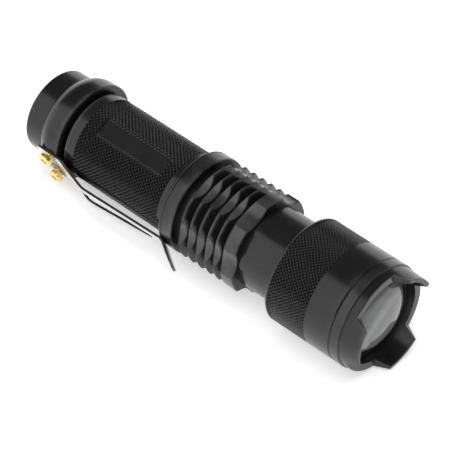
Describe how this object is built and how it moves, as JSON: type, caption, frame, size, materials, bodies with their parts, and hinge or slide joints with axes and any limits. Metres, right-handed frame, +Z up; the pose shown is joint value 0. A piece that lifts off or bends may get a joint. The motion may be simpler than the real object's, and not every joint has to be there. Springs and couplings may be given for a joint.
{
  "type": "pocket zoom flashlight",
  "caption": "Black metal pocket torch with a knurled grip, finned body, sliding knurled focus head, toothed crown, steel pocket clip and tail push-button.",
  "frame": {"origin": "centre of the flat tail face, on the torch's axis", "axes": "+X along the axis from the tail to the head; +Z up as it lies on its side, with the pocket clip low on the -Y side"},
  "size_m": [0.1056, 0.03, 0.0264],
  "materials": {
    "anodised_black": "satin black anodised",
    "clip_steel": "fine-brushed spring steel",
    "screw_brass": "bright brass plate",
    "boot_rubber": "moulded matt",
    "seal_rubber": "greased matt",
    "bare_aluminium": "turned bare",
    "black_plastic": "moulded matt",
    "white_plastic": "moulded matt",
    "board_laminate": "solder-masked laminate",
    "star_board": "white solder mask on aluminium",
    "white_ceramic": "glazed ceramic",
    "led_silicone": "soft clear silicone",
    "spring_steel": "nickel plated wire",
    "cell_sleeve": "shrink sleeve",
    "lens_clear": "polished clear",
    "wire_red": "extruded insulation",
    "wire_black": "extruded insulation"
  },
  "bodies": {
    "barrel": {"battery_tube": "anodised_black", "battery_cell": "cell_sleeve", "battery_washer": "white_plastic", "battery_cap": "spring_steel", "heatsink_body": "anodised_black", "driver_board": "board_laminate", "driver_spring": "spring_steel", "driver_chip": "black_plastic", "driver_coil": "black_plastic", "led_pill": "bare_aluminium", "pill_seal": "seal_rubber", "led_star": "star_board", "led_package": "white_ceramic", "led_dome": "led_silicone", "led_collar": "white_plastic", "wire_positive": "wire_red", "wire_negative": "wire_black", "tail_seal": "seal_rubber", "front_seal": "seal_rubber"},
    "tail_carrier": {"tail_spring": "spring_steel"},
    "tail": {"tail_cap": "anodised_black", "clip_base": "clip_steel", "clip_screws": "screw_brass", "boot_flange": "boot_rubber", "switch_ring": "bare_aluminium", "switch_housing": "black_plastic", "switch_board": "board_laminate"},
    "button": {"switch_boot": "boot_rubber", "switch_plunger": "white_plastic"},
    "clip": {"clip_arm": "clip_steel"},
    "head_carrier": {"head_stop_ring": "spring_steel"},
    "head": {"head_sleeve": "anodised_black", "bezel": "anodised_black", "lens": "lens_clear", "lens_seal": "seal_rubber", "lens_ring": "bare_aluminium"}
  },
  "joints": [
    {"name": "tail_travel", "type": "slide", "parent": "barrel", "child": "tail_carrier", "axis": [-1, 0, 0], "range_m": [0, 0.0035]},
    {"name": "tail_turn", "type": "hinge", "parent": "tail_carrier", "child": "tail", "pos_m": [0.008, 0, 0], "axis": [-1, 0, 0], "range_deg": [0, 1261]},
    {"name": "switch_press", "type": "slide", "parent": "tail", "child": "button", "axis": [1, 0, 0], "range_m": [0, 0.0012], "stiffness_N_per_m": 1200, "springref_m": -0.0005},
    {"name": "clip_flex", "type": "hinge", "parent": "tail", "child": "clip", "pos_m": [0.013, -0.01103, -0.00446], "axis": [0, 0.3746, -0.9272], "range_deg": [0, 6], "stiffness_Nm_per_rad": 1.5, "springref_deg": -2.86},
    {"name": "head_slide", "type": "slide", "parent": "barrel", "child": "head_carrier", "axis": [1, 0, 0], "range_m": [-0.01, 0]},
    {"name": "head_turn", "type": "hinge", "parent": "head_carrier", "child": "head", "pos_m": [0.088, 0, 0], "axis": [1, 0, 0], "continuous": true}
  ],
  "couplings": [
    {"joint": "tail_turn", "follows": "tail_travel", "rad_per_m": 6283.2}
  ]
}
